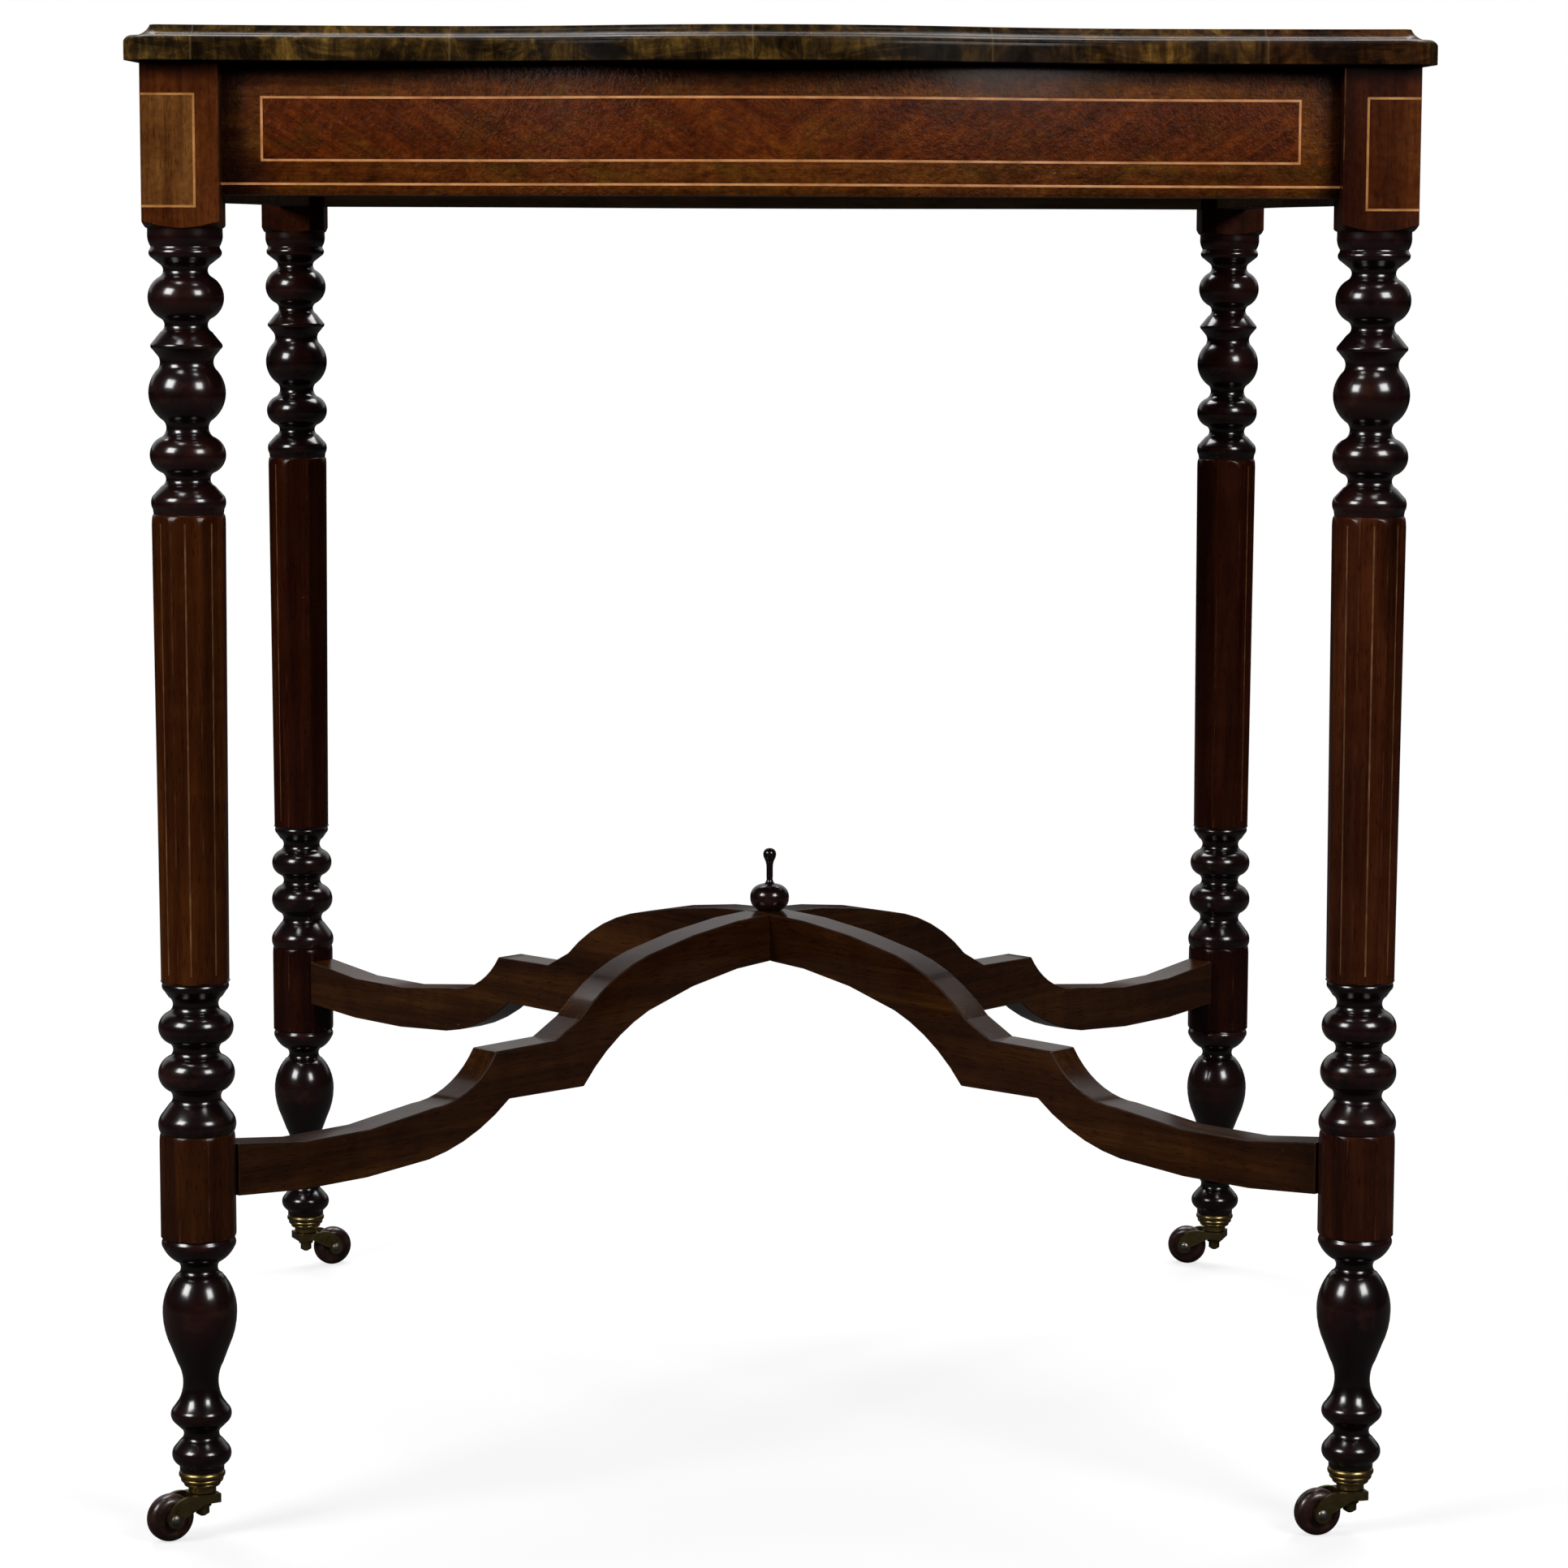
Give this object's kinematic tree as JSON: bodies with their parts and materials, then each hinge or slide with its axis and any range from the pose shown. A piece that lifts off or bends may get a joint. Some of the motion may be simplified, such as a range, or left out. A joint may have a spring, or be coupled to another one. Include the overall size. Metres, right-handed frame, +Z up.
{
  "type": "occasional table",
  "caption": "Square serpentine-sided inlaid occasional table with turned legs, arched crossed stretchers, a small finial and swivelling casters.",
  "frame": {"origin": "on the floor under the middle of the top", "axes": "+Z up, -Y towards the front side, +X to the right seen from the front"},
  "size_m": [0.6538, 0.6538, 0.72],
  "materials": {
    "veneered_top": "French-polished mahogany with a figured cross-grain edge",
    "mahogany": "French-polished mahogany",
    "turned_mahogany": "dark glossy French polish",
    "boxwood": "polished pale stringing",
    "secondary_wood": "bare sawn softwood",
    "brass": "aged lacquered brass",
    "steel": "dull old steel",
    "wheel_brown": "dark brown moulded wheel with a soft sheen"
  },
  "bodies": {
    "table": {"table_top": "veneered_top", "apron_front": "mahogany", "apron_stringing_front": "boxwood", "apron_right": "mahogany", "apron_stringing_right": "boxwood", "apron_back": "mahogany", "apron_stringing_back": "boxwood", "apron_left": "mahogany", "apron_stringing_left": "boxwood", "leg_front_left": "turned_mahogany", "leg_block_stringing_front_left": "boxwood", "leg_shaft_stringing_front_left": "boxwood", "corner_block_front_left": "secondary_wood", "caster_cup_front_left": "brass", "caster_pin_front_left": "brass", "leg_front_right": "turned_mahogany", "leg_block_stringing_front_right": "boxwood", "leg_shaft_stringing_front_right": "boxwood", "corner_block_front_right": "secondary_wood", "caster_cup_front_right": "brass", "caster_pin_front_right": "brass", "leg_back_right": "turned_mahogany", "leg_block_stringing_back_right": "boxwood", "leg_shaft_stringing_back_right": "boxwood", "corner_block_back_right": "secondary_wood", "caster_cup_back_right": "brass", "caster_pin_back_right": "brass", "leg_back_left": "turned_mahogany", "leg_block_stringing_back_left": "boxwood", "leg_shaft_stringing_back_left": "boxwood", "corner_block_back_left": "secondary_wood", "caster_cup_back_left": "brass", "caster_pin_back_left": "brass", "stretcher_rail_under": "mahogany", "stretcher_rail_over": "mahogany", "finial": "turned_mahogany", "top_screws": "steel"},
    "caster_front_left": {"caster_fork_front_left": "brass", "caster_axle_front_left": "steel"},
    "wheel_front_left": {"caster_wheel_front_left": "wheel_brown"},
    "caster_front_right": {"caster_fork_front_right": "brass", "caster_axle_front_right": "steel"},
    "wheel_front_right": {"caster_wheel_front_right": "wheel_brown"},
    "caster_back_right": {"caster_fork_back_right": "brass", "caster_axle_back_right": "steel"},
    "wheel_back_right": {"caster_wheel_back_right": "wheel_brown"},
    "caster_back_left": {"caster_fork_back_left": "brass", "caster_axle_back_left": "steel"},
    "wheel_back_left": {"caster_wheel_back_left": "wheel_brown"}
  },
  "joints": [
    {"name": "swivel_front_left", "type": "hinge", "parent": "table", "child": "caster_front_left", "pos_m": [-0.278, -0.278, 0.0194], "axis": [0, 0, 1], "continuous": true},
    {"name": "roll_front_left", "type": "hinge", "parent": "caster_front_left", "child": "wheel_front_left", "pos_m": [-0.29257, -0.28676, 0.0115], "axis": [-0.515, 0.8572, 0], "continuous": true},
    {"name": "swivel_front_right", "type": "hinge", "parent": "table", "child": "caster_front_right", "pos_m": [0.278, -0.278, 0.0194], "axis": [0, 0, 1], "continuous": true},
    {"name": "roll_front_right", "type": "hinge", "parent": "caster_front_right", "child": "wheel_front_right", "pos_m": [0.26158, -0.2824, 0.0115], "axis": [-0.2588, 0.9659, 0], "continuous": true},
    {"name": "swivel_back_right", "type": "hinge", "parent": "table", "child": "caster_back_right", "pos_m": [0.278, 0.278, 0.0194], "axis": [0, 0, 1], "continuous": true},
    {"name": "roll_back_right", "type": "hinge", "parent": "caster_back_right", "child": "wheel_back_right", "pos_m": [0.26203, 0.28381, 0.0115], "axis": [0.342, 0.9397, 0], "continuous": true},
    {"name": "swivel_back_left", "type": "hinge", "parent": "table", "child": "caster_back_left", "pos_m": [-0.278, 0.278, 0.0194], "axis": [0, 0, 1], "continuous": true},
    {"name": "roll_back_left", "type": "hinge", "parent": "caster_back_left", "child": "wheel_back_left", "pos_m": [-0.26259, 0.28519, 0.0115], "axis": [0.4226, -0.9063, 0], "continuous": true}
  ]
}
